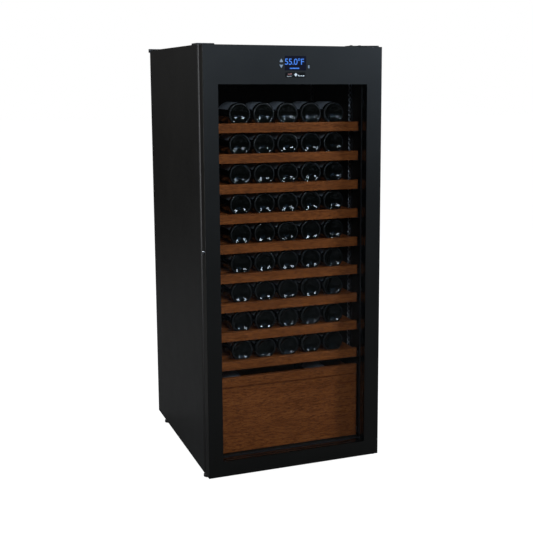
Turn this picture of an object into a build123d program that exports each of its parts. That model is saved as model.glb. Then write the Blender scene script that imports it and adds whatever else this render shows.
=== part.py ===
"""Upright wine cooler with a glass door, nine wooden bottle shelves and a bottom bin drawer.

Millimetres. X runs across the front, positive towards the hinges. Y runs from the door
towards the back. Z is up. The origin is on the floor, under the middle of the footprint.
"""
import os

from build123d import *

os.makedirs("parts", exist_ok=True)

# ---- Driving dimensions --------------------------------------------------------------------

# Outside
cabinet_width = 600.0
cabinet_height = 1381.0
cabinet_depth = 681.0
foot_gap = 20.0          # floor to the underside of the cabinet
door_thickness = 38.0
seal_gap = 8.0           # space between the door and the cabinet, filled by the gasket
key_proud = 1.0          # the keys are the pieces furthest forward

# Cabinet walls
sheet = 1.2              # painted steel
corner_radius = 20.0     # front corners, which leave room for fingers behind the door
front_flange = 5.0       # steel turned in past the front corner
liner_wall = 2.0
base_thickness = 6.0
side_insulation = 36.0   # each from the outside face to the liner's inner face
top_insulation = 51.0
floor_insulation = 40.0
back_insulation = 37.0
bay_insulation = 30.0    # between the liner's step and the machine bay
drawer_bay_depth = 404.0
drawer_bay_height = 260.0
duct_depth = 50.0        # between the liner's back and the duct cover's face
edge_round = 1.2         # eased edges of wooden fronts and small covers

# Door
door_gap = 1.0           # above and below the door
door_skin = 1.5
door_edge_radius = 2.0
stile_left = 48.0
stile_right = 52.5
rail_bottom = 51.0
rail_top = 119.5
pane = 4.0
pane_space = 12.0
pane_overlap = 12.0      # glass hidden behind the frame's lip
pane_tape = 0.5
gasket_inset = 24.0
gasket_lip = 2.0         # gasket's inner edge, proud of the return all round
gasket_clearance = 0.3

# Hinges, lock and keys
hinge_inset = 15.0       # pin axis to the side of the door
hinge_setback = 20.0     # pin axis to the front of the door
pin_radius = 4.0
pin_length = 12.0
running_clearance = 0.05
hinge_plate = 3.0
plate_reach = 80.0       # from the pin axis to the plate's far end
plate_start = 23.0
plate_margin = 4.0       # plate's front edge behind the cabinet's front
plate_depth = 35.0
plate_eye = 11.0         # radius round the pin
screw_radius = 2.5
screw_length = 14.0
lock_height = 741.0      # above the underside of the cabinet
lock_radius = 7.3
lock_length = 25.0
lock_proud = 4.5
plug_radius = 4.6
key_thickness = 5.0
key_travel = 0.8
key_gap = 0.3

# Shelves and bottles
shelf_count = 9
lowest_shelf = 329.9     # underside of the lowest shelf, above the underside of the cabinet
strip_height = 30.5
strip_thickness = 15.0
strip_setback = 33.0     # strip's front face behind the cabinet's front
shelf_rear_gap = 40.0    # behind a shelf, for the air along the duct cover
side_rail = 20.0
side_rail_drop = 8.0     # side rails and slats are lower than the strip's top
slat_count = 7
slat_width = 40.0
slat_thickness = 16.0
slat_drop = 6.0
track_thickness = 3.0
track_width = 38.0
runner_space = 7.5       # between the track and the shelf
runner_sheet = 2.0
runner_ledge = 21.0
runner_height = 20.0
runner_front_gap = 6.0   # runner's end behind the strip's front face
runner_back_gap = 45.0   # runner's end ahead of the shelf's back
slide_clearance = 0.4
bottle_radius = 37.65
bottle_length = 300.0
bottle_wall = 8.5        # thick, so that an empty body weighs as much as a full bottle
bottle_gap = 6.1         # between neighbours in a row
bottles_per_row = 5
row_shift = 10.5         # rows lie a little towards the hinges
row_clearance = 1.35     # between a bottle and the shelf above it
bottle_drop = 10.0       # underside of a bottle below the strip's top
bottle_setback = 7.0     # bottle's base behind the strip
cradle_gap = 0.3

# Drawer
drawer_bottom = 47.7     # underside of the drawer front, above the underside of the cabinet
drawer_front_height = 255.8
groove_drop = 31.0
groove = 3.0
groove_depth = 7.0
bin_wall = 12.0
bin_floor = 8.0
bin_lift = 5.0           # bin's underside above the underside of its front
bin_drop = 24.0          # bin's rim below the top of its front
bin_inset = 3.5          # bin's sides inside the ends of its front
bin_rear_gap = 7.0
bin_bottle_setback = 31.0
bin_bottle_gap = 2.0
bin_shift = -6.4         # bottles in the bin lie towards its free side

# ---- Derived planes ------------------------------------------------------------------------

half_width = cabinet_width / 2
keys_front = -(key_proud + door_thickness + seal_gap + cabinet_depth) / 2
door_front = keys_front + key_proud
door_back = door_front + door_thickness
cabinet_front = door_back + seal_gap
cabinet_back = cabinet_front + cabinet_depth
cabinet_bottom = foot_gap
cabinet_top = cabinet_bottom + cabinet_height

liner_half = half_width - side_insulation
liner_floor = cabinet_bottom + floor_insulation
liner_ceiling = cabinet_top - top_insulation
liner_back = cabinet_back - back_insulation
step_y = cabinet_front + drawer_bay_depth
step_z = liner_floor + drawer_bay_height
bay_front = step_y + liner_wall + bay_insulation
bay_top = step_z - liner_wall - bay_insulation
bay_floor = cabinet_bottom + base_thickness

door_bottom = cabinet_bottom + door_gap
door_top = cabinet_top - door_gap
opening_left = -half_width + stile_left
opening_right = half_width - stile_right
opening_bottom = door_bottom + rail_bottom
opening_top = door_top - rail_top
hinge_x = half_width - hinge_inset
hinge_y = door_front + hinge_setback

duct_front = liner_back - duct_depth
strip_front = cabinet_front + strip_setback
strip_back = strip_front + strip_thickness
shelf_back = duct_front - shelf_rear_gap
shelf_pitch = strip_height - bottle_drop + 2 * bottle_radius + row_clearance
bottle_pitch = 2 * bottle_radius + bottle_gap
shelf_half = liner_half - track_thickness - runner_space
shelf_bottoms = [
    cabinet_bottom + lowest_shelf + shelf_pitch * (shelf_count - 1 - level)
    for level in range(shelf_count)
]
steps = [n - (bottles_per_row - 1) / 2 for n in range(bottles_per_row)]
row_columns = [row_shift + bottle_pitch * step for step in steps]
bin_columns = [bin_shift + (2 * bottle_radius + bin_bottle_gap) * step for step in steps]


def save(builder, label):
    """Label a finished piece and write it under its node name."""
    builder.part.label = label
    export_step(builder.part, f"parts/{label}.step")


def front_plane(y):
    """A plane that faces the front at depth y, with X to the right and Z up."""
    return Plane(origin=(0, y, 0), x_dir=(1, 0, 0), z_dir=(0, -1, 0))


def span(low_x, high_x, low_y, high_y, mode=Mode.ADD):
    """A rectangle in the current sketch, given by its limits."""
    with Locations(((low_x + high_x) / 2, (low_y + high_y) / 2)):
        Rectangle(high_x - low_x, high_y - low_y, mode=mode)


# ---- Cabinet shell -------------------------------------------------------------------------

# Side panels: steel sheet that turns round the front corner and ends in a short flange.
with BuildPart() as side_panel_left:
    with BuildSketch(Plane.XY.offset(cabinet_bottom)):
        with BuildLine():
            FilletPolyline(
                (-half_width, cabinet_back),
                (-half_width, cabinet_front),
                (-half_width + corner_radius + front_flange, cabinet_front),
                radius=corner_radius,
            )
            offset(amount=sheet, side=Side.LEFT)
        make_face()
    extrude(amount=cabinet_height - sheet)
save(side_panel_left, "side_panel_left")

with BuildPart() as side_panel_right:
    mirror(side_panel_left.part, about=Plane.YZ)
save(side_panel_right, "side_panel_right")

# Hinge screws: two through the upper hinge plate, two through the lower one.
screw_y = cabinet_front + 22.0
screw_points = [(hinge_x - 65.0, screw_y), (hinge_x - 35.0, screw_y)]

# Top panel: a flat sheet with the same front corners, and a hole under each hinge screw.
with BuildPart() as top_panel:
    with BuildSketch(Plane.XY.offset(cabinet_top - sheet)) as top_outline:
        span(-half_width, half_width, cabinet_front, cabinet_back)
        fillet(top_outline.vertices().group_by(Axis.Y)[0], corner_radius)
        with Locations(*screw_points):
            Circle(screw_radius + running_clearance, mode=Mode.SUBTRACT)
    extrude(amount=sheet)
save(top_panel, "top_panel")

# Rear trim: a cap that stands above the top and hugs both sides at the back.
trim_depth = 18.0
trim_lap = 8.0
trim_proud = 5.0
with BuildPart() as rear_top_trim:
    with BuildSketch(front_plane(cabinet_back)):
        span(-half_width - trim_proud, half_width + trim_proud,
             cabinet_top - trim_lap, cabinet_top + trim_proud)
        span(-half_width, half_width, cabinet_top - trim_lap, cabinet_top, mode=Mode.SUBTRACT)
    extrude(amount=trim_depth)
    fillet(rear_top_trim.faces().sort_by(Axis.Y)[0].outer_wire().edges().filter_by(Axis.X)
           .sort_by(Axis.Z)[-1:], edge_round)
save(rear_top_trim, "rear_top_trim")

inside_half = half_width - sheet
with BuildPart() as back_panel:
    with BuildSketch(front_plane(cabinet_back)):
        span(-inside_half, inside_half, bay_top, cabinet_top - sheet)
    extrude(amount=sheet)
save(back_panel, "back_panel")

# Feet stand under the corners, each on a threaded stem that turns in the base.
foot_radius = 15.0
foot_height = 10.0
stem_radius = 5.0
foot_inset = 18.0
foot_chamfer = 3.0
stem_short = 1.0         # stem's end below the top of the base
front_foot_y = cabinet_front + 33.0
rear_foot_y = cabinet_back - 90.0
foot_points = {
    "foot_front_left": (-half_width + foot_inset, front_foot_y),
    "foot_front_right": (half_width - foot_inset, front_foot_y),
    "foot_rear_left": (-half_width + foot_inset, rear_foot_y),
    "foot_rear_right": (half_width - foot_inset, rear_foot_y),
}

with BuildPart() as base_pan:
    with BuildSketch(Plane.XY.offset(cabinet_bottom)) as base_outline:
        span(-inside_half, inside_half, cabinet_front + sheet, cabinet_back - sheet)
        fillet(base_outline.vertices().group_by(Axis.Y)[0], corner_radius)
        with Locations(*foot_points.values()):
            Circle(stem_radius + running_clearance, mode=Mode.SUBTRACT)
        with Locations(*screw_points):
            Circle(screw_radius + running_clearance, mode=Mode.SUBTRACT)
    extrude(amount=base_thickness)
save(base_pan, "base_pan")

for label, (foot_x, foot_y) in foot_points.items():
    with BuildPart() as foot:
        with Locations((foot_x, foot_y, 0)):
            Cylinder(foot_radius, foot_height, align=(Align.CENTER, Align.CENTER, Align.MIN))
            chamfer(foot.edges().group_by(Axis.Z)[-1], foot_chamfer)
            Cylinder(stem_radius, cabinet_bottom + base_thickness - stem_short,
                     align=(Align.CENTER, Align.CENTER, Align.MIN))
    save(foot, label)

# Refrigerant pipe places, shared by the holes in the liner and the foam.
pipe_radius = 3.0
pipe_hole = pipe_radius + 0.5
liquid_x = 40.0
suction_x = 60.0
liquid_z = 1000.0
suction_z = 960.0
pipe_y = cabinet_back - 17.0
pipe_bend = 9.0
chase_margin = 15.0      # round both pipes, in the foam behind the liner
chase_depth = 25.0

# Liner: the moulded inside, with a step over the machine bay and a flange round its mouth.
with BuildPart() as inner_liner:
    with BuildSketch(front_plane(cabinet_front)):
        span(-half_width + corner_radius + front_flange, half_width - corner_radius - front_flange,
             cabinet_bottom + base_thickness, cabinet_top - sheet)
    extrude(amount=-liner_wall)
    with BuildSketch(Plane.YZ.offset(-liner_half - liner_wall)):
        span(cabinet_front, liner_back + liner_wall,
             liner_floor - liner_wall, liner_ceiling + liner_wall)
        span(step_y + liner_wall, liner_back + liner_wall,
             liner_floor - liner_wall, step_z - liner_wall, mode=Mode.SUBTRACT)
    extrude(amount=2 * (liner_half + liner_wall))
    with BuildSketch(Plane.YZ.offset(-liner_half)):
        span(cabinet_front, liner_back, liner_floor, liner_ceiling)
        span(step_y, liner_back, liner_floor, step_z, mode=Mode.SUBTRACT)
    extrude(amount=2 * liner_half, mode=Mode.SUBTRACT)
    with BuildSketch(front_plane(liner_back)):
        with Locations((liquid_x, liquid_z), (suction_x, suction_z)):
            Circle(pipe_hole)
    extrude(amount=-liner_wall, mode=Mode.SUBTRACT)
save(inner_liner, "inner_liner")

# Foam: everything between the steel and the liner, less the machine bay and a pipe chase.
foam_front = cabinet_front + liner_wall
with BuildPart() as insulation_foam:
    with BuildSketch(Plane.XY.offset(bay_floor)) as foam_outline:
        span(-inside_half, inside_half, foam_front, cabinet_back - sheet)
        fillet(foam_outline.vertices().group_by(Axis.Y)[0], corner_radius)
    extrude(amount=cabinet_top - sheet - bay_floor)
    with BuildSketch(Plane.YZ.offset(-liner_half - liner_wall)):
        span(foam_front, liner_back + liner_wall,
             liner_floor - liner_wall, liner_ceiling + liner_wall)
        span(step_y + liner_wall, liner_back + liner_wall,
             liner_floor - liner_wall, step_z - liner_wall, mode=Mode.SUBTRACT)
    extrude(amount=2 * (liner_half + liner_wall), mode=Mode.SUBTRACT)
    with BuildSketch(Plane.YZ.offset(-half_width)):
        span(bay_front, cabinet_back, bay_floor, bay_top)
    extrude(amount=cabinet_width, mode=Mode.SUBTRACT)
    with BuildSketch(front_plane(cabinet_back)):
        span(liquid_x - chase_margin, suction_x + chase_margin,
             bay_top - 1.0, liquid_z + chase_margin)
    extrude(amount=chase_depth, mode=Mode.SUBTRACT)
    with BuildSketch(front_plane(liner_back)):
        with Locations((liquid_x, liquid_z), (suction_x, suction_z)):
            Circle(pipe_hole)
    extrude(amount=-back_insulation, mode=Mode.SUBTRACT)
    with BuildSketch(Plane.XY.offset(cabinet_top)):
        with Locations(*screw_points):
            Circle(screw_radius + running_clearance)
    extrude(amount=-screw_length - 1.0, mode=Mode.SUBTRACT)
save(insulation_foam, "insulation_foam")

# Cover over the spare hinge holes on the other side of the top.
cover_thickness = 4.7
with BuildPart() as spare_hinge_cover:
    with BuildSketch(Plane.XY.offset(cabinet_top)) as cover_outline:
        span(-half_width, -half_width + 57.0, cabinet_front + 16.0, cabinet_front + 80.0)
        fillet(cover_outline.vertices(), 3.0)
    extrude(amount=cover_thickness)
    fillet(spare_hinge_cover.edges().group_by(Axis.Z)[-1], edge_round)
save(spare_hinge_cover, "spare_hinge_cover")

# ---- Hinges --------------------------------------------------------------------------------

# Two equal plates, one above the door and one below, each with the pin that the door turns on.
plate_levels = (
    (cabinet_top, cabinet_top + hinge_plate, -1),
    (cabinet_bottom - hinge_plate, cabinet_bottom, 1),
)
with BuildPart() as hinge_plates:
    for low_z, high_z, inward in plate_levels:
        with BuildSketch(Plane.XY.offset(low_z)):
            span(hinge_x - plate_reach, hinge_x - plate_start,
                 cabinet_front + plate_margin, cabinet_front + plate_margin + plate_depth)
            with Locations((hinge_x, hinge_y)):
                Circle(plate_eye)
            make_hull()
            with Locations(*screw_points):
                Circle(screw_radius + running_clearance, mode=Mode.SUBTRACT)
        extrude(amount=high_z - low_z)
        with BuildSketch(Plane.XY.offset(low_z)):
            with Locations((hinge_x, hinge_y)):
                Circle(pin_radius)
        extrude(amount=inward * pin_length if inward < 0 else hinge_plate + pin_length)
save(hinge_plates, "hinge_plates")

head_radius = 4.5
head_height = 2.4
with BuildPart() as hinge_screws:
    for outer_z, inward in ((cabinet_top + hinge_plate, -1), (cabinet_bottom - hinge_plate, 1)):
        shank = screw_length if inward < 0 else hinge_plate + base_thickness - 1.0
        with BuildSketch(Plane.XY.offset(outer_z)):
            with Locations(*screw_points):
                Circle(screw_radius)
        extrude(amount=inward * shank)
        with BuildSketch(Plane.XY.offset(outer_z)):
            with Locations(*screw_points):
                Circle(head_radius)
        extrude(amount=-inward * head_height)
save(hinge_screws, "hinge_screws")

# ---- Door ----------------------------------------------------------------------------------

# Readout, badge and keys, measured down from the top of the door.
display_box = (-36.0, 36.0, door_top - 77.0, door_top - 32.0)
display_depth = 1.6
badge_box = (-34.0, 33.0, door_top - 98.4, door_top - 82.6)
badge_proud = 0.8
badge_radius = 2.0
arrow_x = -47.2
arrow_size = 7.2
arrow_radius = 0.8
up_key_z = door_top - 47.6
down_key_z = door_top - 63.1
light_key_x = 44.4
light_key_z = door_top - 65.0
light_key_size = (5.0, 9.0)
light_key_radius = 1.2
lock_x = -half_width
lock_y = door_front + 21.0
lock_z = cabinet_bottom + lock_height
pocket_spare = 0.7


def arrow(z, turn, grow=0.0):
    """A rounded triangle, one of the two arrow keys; grow widens it all round."""
    with Locations((arrow_x, z)):
        RegularPolygon(arrow_size + 2 * grow, 3, rotation=turn)


def light_outline(grow=0.0):
    """The tall rounded light key."""
    with Locations((light_key_x, light_key_z)):
        width, height = light_key_size
        RectangleRounded(width + 2 * grow, height + 2 * grow, light_key_radius)


# Tools that cut the same pocket or bore in the door's wrap and in its core.
with BuildPart() as key_pockets:
    with BuildSketch(front_plane(door_front)):
        arrow(up_key_z, 90, key_gap)
        arrow(down_key_z, -90, key_gap)
        light_outline(key_gap)
    extrude(amount=-(key_thickness + key_travel - key_proud + pocket_spare))

with BuildPart() as lock_bore:
    with BuildSketch(Plane.YZ.offset(lock_x)):
        with Locations((lock_y, lock_z)):
            Circle(lock_radius + running_clearance)
    extrude(amount=lock_length)

with BuildPart() as pin_bores:
    for mouth_z, inward in ((door_top, -1), (door_bottom, 1)):
        with BuildSketch(Plane.XY.offset(mouth_z)):
            with Locations((hinge_x, hinge_y)):
                Circle(pin_radius + running_clearance)
        extrude(amount=inward * (pin_length + 1.0))

# Steel wrap: the front face with its lip, and the four outer edges.
with BuildPart() as door_frame:
    with BuildSketch(front_plane(door_front)):
        span(-half_width, half_width, door_bottom, door_top)
    extrude(amount=-door_thickness)
    fillet(door_frame.faces().sort_by(Axis.Y)[0].edges(), door_edge_radius)
    with BuildSketch(front_plane(door_front)):
        span(opening_left, opening_right, opening_bottom, opening_top)
    extrude(amount=-door_thickness, mode=Mode.SUBTRACT)
    with BuildSketch(front_plane(door_front + door_skin)):
        span(-half_width + door_skin, half_width - door_skin,
             door_bottom + door_skin, door_top - door_skin)
    extrude(amount=-door_thickness, mode=Mode.SUBTRACT)
    with BuildSketch(front_plane(door_front)):
        span(*display_box)
    extrude(amount=-door_skin, mode=Mode.SUBTRACT)
    for tool in (key_pockets, lock_bore, pin_bores):
        add(tool.part, mode=Mode.SUBTRACT)
save(door_frame, "door_frame")

# Moulded core: fills the wrap, holds the glass and forms the glossy return behind it.
pane_left = opening_left - pane_overlap
pane_right = opening_right + pane_overlap
pane_bottom = opening_bottom - pane_overlap
pane_top = opening_top + pane_overlap
front_pane_y = door_front + door_skin + pane_tape
spacer_y = front_pane_y + pane
rear_pane_y = spacer_y + pane_space
glazing_back = rear_pane_y + pane
with BuildPart() as door_core:
    with BuildSketch(front_plane(door_front + door_skin)):
        span(-half_width + door_skin, half_width - door_skin,
             door_bottom + door_skin, door_top - door_skin)
        span(opening_left, opening_right, opening_bottom, opening_top, mode=Mode.SUBTRACT)
    extrude(amount=-(door_thickness - door_skin))
    with BuildSketch(front_plane(door_front + door_skin)):
        span(pane_left - pane_tape, pane_right + pane_tape,
             pane_bottom - pane_tape, pane_top + pane_tape)
    extrude(amount=-(glazing_back - door_front - door_skin), mode=Mode.SUBTRACT)
    with BuildSketch(front_plane(door_front)):
        span(*display_box)
    extrude(amount=-display_depth, mode=Mode.SUBTRACT)
    for tool in (key_pockets, lock_bore, pin_bores):
        add(tool.part, mode=Mode.SUBTRACT)
save(door_core, "door_core")

with BuildPart() as glass_panes:
    for pane_y in (front_pane_y, rear_pane_y):
        with BuildSketch(front_plane(pane_y)):
            span(pane_left, pane_right, pane_bottom, pane_top)
        extrude(amount=-pane)
save(glass_panes, "glass_panes")

with BuildPart() as glass_spacer:
    with BuildSketch(front_plane(spacer_y)):
        span(pane_left, pane_right, pane_bottom, pane_top)
        span(opening_left, opening_right, opening_bottom, opening_top, mode=Mode.SUBTRACT)
    extrude(amount=-pane_space)
save(glass_spacer, "glass_spacer")

with BuildPart() as door_gasket:
    with BuildSketch(front_plane(door_back)):
        span(-half_width + gasket_inset, half_width - gasket_inset,
             door_bottom + gasket_inset, door_top - gasket_inset)
        span(opening_left + gasket_lip, opening_right - gasket_lip,
             opening_bottom + gasket_lip, liner_ceiling - gasket_lip, mode=Mode.SUBTRACT)
    extrude(amount=-(seal_gap - gasket_clearance))
save(door_gasket, "door_gasket")

with BuildPart() as display_window:
    with BuildSketch(front_plane(door_front)):
        span(*display_box)
    extrude(amount=-display_depth)
save(display_window, "display_window")

with BuildPart() as badge_plate:
    with BuildSketch(front_plane(door_front)) as badge_outline:
        span(*badge_box)
        fillet(badge_outline.vertices(), badge_radius)
    extrude(amount=badge_proud)
save(badge_plate, "badge_plate")

for label, key_z, turn in (("key_up", up_key_z, 90), ("key_down", down_key_z, -90)):
    with BuildPart() as arrow_key:
        with BuildSketch(front_plane(keys_front)) as arrow_outline:
            arrow(key_z, turn)
            fillet(arrow_outline.vertices(), arrow_radius)
        extrude(amount=-key_thickness)
    save(arrow_key, label)

with BuildPart() as key_light:
    with BuildSketch(front_plane(keys_front)):
        light_outline()
    extrude(amount=-key_thickness)
save(key_light, "key_light")

# Lock: a fixed cylinder in the door's free edge, and the plug that the key turns.
plug_length = 20.0
lock_floor = 1.0         # space left behind the cylinder in its bore
keyway = (1.6, 6.0)
keyway_depth = 17.0
with BuildPart() as lock_body:
    with BuildSketch(Plane.YZ.offset(lock_x - lock_proud)):
        with Locations((lock_y, lock_z)):
            Circle(lock_radius)
    extrude(amount=lock_length + lock_proud - lock_floor)
    fillet(lock_body.edges().group_by(Axis.X)[0], edge_round)
    with BuildSketch(Plane.YZ.offset(lock_x - lock_proud)):
        with Locations((lock_y, lock_z)):
            Circle(plug_radius + running_clearance)
    extrude(amount=plug_length + running_clearance, mode=Mode.SUBTRACT)
save(lock_body, "lock_body")

with BuildPart() as lock_plug:
    with BuildSketch(Plane.YZ.offset(lock_x - lock_proud)):
        with Locations((lock_y, lock_z)):
            Circle(plug_radius)
    extrude(amount=plug_length)
    with BuildSketch(Plane.YZ.offset(lock_x - lock_proud)):
        with Locations((lock_y, lock_z)):
            Rectangle(*keyway)
    extrude(amount=keyway_depth, mode=Mode.SUBTRACT)
save(lock_plug, "lock_plug")

# ---- Inside: tracks, runners, duct and light -----------------------------------------------

# Slotted tracks: two upright strips on each side wall, with slots at a sixth of the shelf pitch.
track_bottom = step_z + 12.0
track_top = liner_ceiling - 5.0
slot_pitch = shelf_pitch / 6
slot_rows = int((track_top - track_bottom - 10.0) / slot_pitch)
track_centres = (cabinet_front + 122.0, cabinet_front + 474.0)
track_slot = (22.0, 11.5)
with BuildPart() as shelf_tracks:
    with BuildSketch(Plane.YZ.offset(liner_half - track_thickness)):
        for track_y in track_centres:
            span(track_y - track_width / 2, track_y + track_width / 2, track_bottom, track_top)
            with Locations((track_y, (track_bottom + track_top) / 2)):
                with GridLocations(0, slot_pitch, 1, slot_rows):
                    SlotOverall(*track_slot, mode=Mode.SUBTRACT)
    extrude(amount=track_thickness)
    mirror(about=Plane.YZ)
save(shelf_tracks, "shelf_tracks")

# Runners: one angle on each side under every shelf, and a pair under the drawer.
runner_front = strip_front + runner_front_gap
runner_back = shelf_back - runner_back_gap
bin_bottom = cabinet_bottom + drawer_bottom + bin_lift
runner_outer = liner_half - track_thickness
runner_levels = [bottom - slide_clearance for bottom in shelf_bottoms]
with BuildPart() as fixed_runners:
    with BuildSketch(front_plane(runner_front)):
        for level in runner_levels:
            span(runner_outer - runner_ledge, runner_outer, level - runner_sheet, level)
            span(runner_outer - runner_sheet, runner_outer, level - runner_sheet,
                 level - runner_sheet + runner_height)
    extrude(amount=runner_front - runner_back)
    with BuildSketch(front_plane(strip_back + 1.0)):
        level = bin_bottom - slide_clearance
        span(liner_half - runner_ledge - track_thickness, liner_half, level - runner_sheet, level)
        span(liner_half - runner_sheet, liner_half, level - runner_sheet,
             level - runner_sheet + runner_height)
    extrude(amount=-(step_y - strip_back - 10.0))
    mirror(about=Plane.YZ)
save(fixed_runners, "fixed_runners")

# Fans: a ring and three arms carry the motor, and the rotor's shaft turns in the motor's bore.
fan_radius = 56.0
fan_ring = 4.0
motor_radius = 17.0
motor_start = 20.0
motor_length = 16.0
shaft_radius = 3.0
arm_width = 8.0
tip_clearance = 2.0      # blade tips to the ring
hub_radius = 14.0
hub_start = 3.0
blade_count = 5
blade_chord = 22.0
blade_sheet = 2.0
blade_twist = 28.0


def fan_mount(plane):
    """Ring, arms and motor of a fan, grown along the plane's normal."""
    with BuildPart() as mount:
        with BuildSketch(plane):
            Circle(fan_radius + tip_clearance + fan_ring)
            Circle(fan_radius + tip_clearance, mode=Mode.SUBTRACT)
        extrude(amount=motor_start + motor_length / 2)
        with BuildSketch(plane.offset(motor_start)):
            with PolarLocations((fan_radius + fan_ring) / 2, 3):
                Rectangle(fan_radius + fan_ring, arm_width)
        extrude(amount=motor_length / 2)
        with BuildSketch(plane.offset(motor_start)):
            Circle(motor_radius)
        extrude(amount=motor_length)
        with BuildSketch(plane.offset(motor_start)):
            Circle(shaft_radius + running_clearance)
        extrude(amount=motor_length - 2.0, mode=Mode.SUBTRACT)
    return mount.part


def fan_rotor(plane, label):
    """Hub, five pitched blades and a shaft, turning about the plane's normal."""
    hub_length = motor_start - hub_start - 2.0
    with BuildPart(plane.offset(hub_start)) as rotor:
        Cylinder(hub_radius, hub_length, align=(Align.CENTER, Align.CENTER, Align.MIN))
        Cylinder(shaft_radius, hub_length + motor_length - 2.0,
                 align=(Align.CENTER, Align.CENTER, Align.MIN))
        with Locations((0, 0, hub_length / 2)):
            with PolarLocations((fan_radius + hub_radius) / 2 - 2.0, blade_count):
                Box(fan_radius - hub_radius + 2.0, blade_chord, blade_sheet,
                    rotation=(blade_twist, 0, 0))
    save(rotor, label)


# Duct cover: the visible back wall, slotted high and low, with the fan behind its upper grille.
duct_sheet = 3.0
duct_bottom = step_z + 2.0
duct_top = liner_ceiling - 2.0
fan_height = duct_top - 120.0
duct_fan_plane = Plane(origin=(0, duct_front + duct_sheet, fan_height),
                       x_dir=(1, 0, 0), z_dir=(0, 1, 0))
rib_places = (4.0, 255.0)
rib_width = 3.0
rib_height = 2.0
with BuildPart() as duct_cover:
    with BuildSketch(front_plane(duct_front)):
        span(-liner_half + 1.0, liner_half - 1.0, duct_bottom, duct_top)
        with Locations((0, fan_height)):
            with GridLocations(0, 10.0, 1, 9):
                SlotOverall(86.0, 5.0, mode=Mode.SUBTRACT)
        with Locations((0, duct_bottom + 40.0)):
            with GridLocations(110.0, 12.0, 4, 4):
                SlotOverall(90.0, 5.0, mode=Mode.SUBTRACT)
    extrude(amount=-duct_sheet)
    with BuildSketch(front_plane(duct_front)):
        for rib_x in rib_places:
            span(rib_x - rib_width / 2, rib_x + rib_width / 2, duct_bottom, duct_top)
    extrude(amount=rib_height)
    add(fan_mount(duct_fan_plane))
save(duct_cover, "duct_cover")
fan_rotor(duct_fan_plane, "evaporator_fan")

# Evaporator: a finned block in the duct, hung on the liner's back wall.
fin_count = 17
fin_sheet = 0.8
evaporator_width = 320.0
evaporator_bottom = suction_z - 100.0
evaporator_top = liquid_z + 20.0
evaporator_front = duct_front + 8.0
evaporator_back = liner_back - 6.0
with BuildPart() as evaporator:
    with BuildSketch(Plane.XY.offset(evaporator_bottom)):
        with Locations((0, (evaporator_front + evaporator_back) / 2)):
            with GridLocations(evaporator_width / (fin_count - 1), 0, fin_count, 1):
                Rectangle(fin_sheet, evaporator_back - evaporator_front)
    extrude(amount=evaporator_top - evaporator_bottom)
    with BuildSketch(Plane.YZ.offset(-evaporator_width / 2)):
        with Locations(((evaporator_front + evaporator_back) / 2,
                        (evaporator_bottom + evaporator_top) / 2)):
            with GridLocations(18.0, 32.0, 2, 5):
                Circle(4.0)
    extrude(amount=evaporator_width)
    for pipe_x, pipe_z in ((liquid_x, liquid_z), (suction_x, suction_z)):
        with BuildSketch(front_plane(evaporator_back)):
            with Locations((pipe_x, pipe_z)):
                Rectangle(evaporator_width / (fin_count - 1) + 2.0, 14.0)
        extrude(amount=4.0)
save(evaporator, "evaporator")

lamp_half = 150.0
lamp_height = 9.0
lamp_width = 22.0
lamp_setback = 26.0      # behind the cabinet's front
lamp_round = 3.0
with BuildPart() as light_bar:
    with BuildSketch(front_plane(cabinet_front + lamp_setback)) as light_section:
        span(-lamp_half, lamp_half, liner_ceiling - lamp_height, liner_ceiling)
        fillet(light_section.vertices().group_by(Axis.Z)[0], lamp_round)
    extrude(amount=-lamp_width)
save(light_bar, "light_bar")

# ---- Machine bay ---------------------------------------------------------------------------

compressor_x = 150.0
compressor_y = bay_front + 118.0
compressor_radius = 62.0
compressor_height = 165.0
can_lift = 14.0          # underside of the can above the base
can_floor_radius = 14.0
dome_height = 34.0
bracket_lift = 10.0
bracket_sheet = 6.0
grommet_radius = 9.0
with BuildPart() as compressor:
    with BuildSketch(Plane.XZ.offset(-compressor_y)):
        with BuildLine():
            can_floor = bay_floor + can_lift
            can_top = bay_floor + compressor_height
            can_side = compressor_x + compressor_radius
            wall = Line((can_side, can_floor + can_floor_radius), (can_side, can_top - dome_height))
            dome = Spline(wall @ 1, (compressor_x, can_top), tangents=((0, 1), (-1, 0)))
            middle = Line(dome @ 1, (compressor_x, can_floor))
            floor = Line(middle @ 1, (can_side - can_floor_radius, can_floor))
            RadiusArc(floor @ 1, wall @ 0, -can_floor_radius)
        make_face()
    revolve(axis=Axis((compressor_x, compressor_y, 0), (0, 0, 1)))
    with BuildSketch(Plane.XY.offset(bay_floor + bracket_lift)):
        with Locations((compressor_x, compressor_y)):
            RectangleRounded(2 * compressor_radius + 30.0, 2 * compressor_radius - 10.0, 12.0)
    extrude(amount=bracket_sheet)
    with BuildSketch(Plane.XY.offset(bay_floor)):
        with Locations((compressor_x, compressor_y)):
            with GridLocations(2 * compressor_radius + 6.0, 2 * compressor_radius - 34.0, 2, 2):
                Circle(grommet_radius)
    extrude(amount=bracket_lift)
save(compressor, "compressor")

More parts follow.
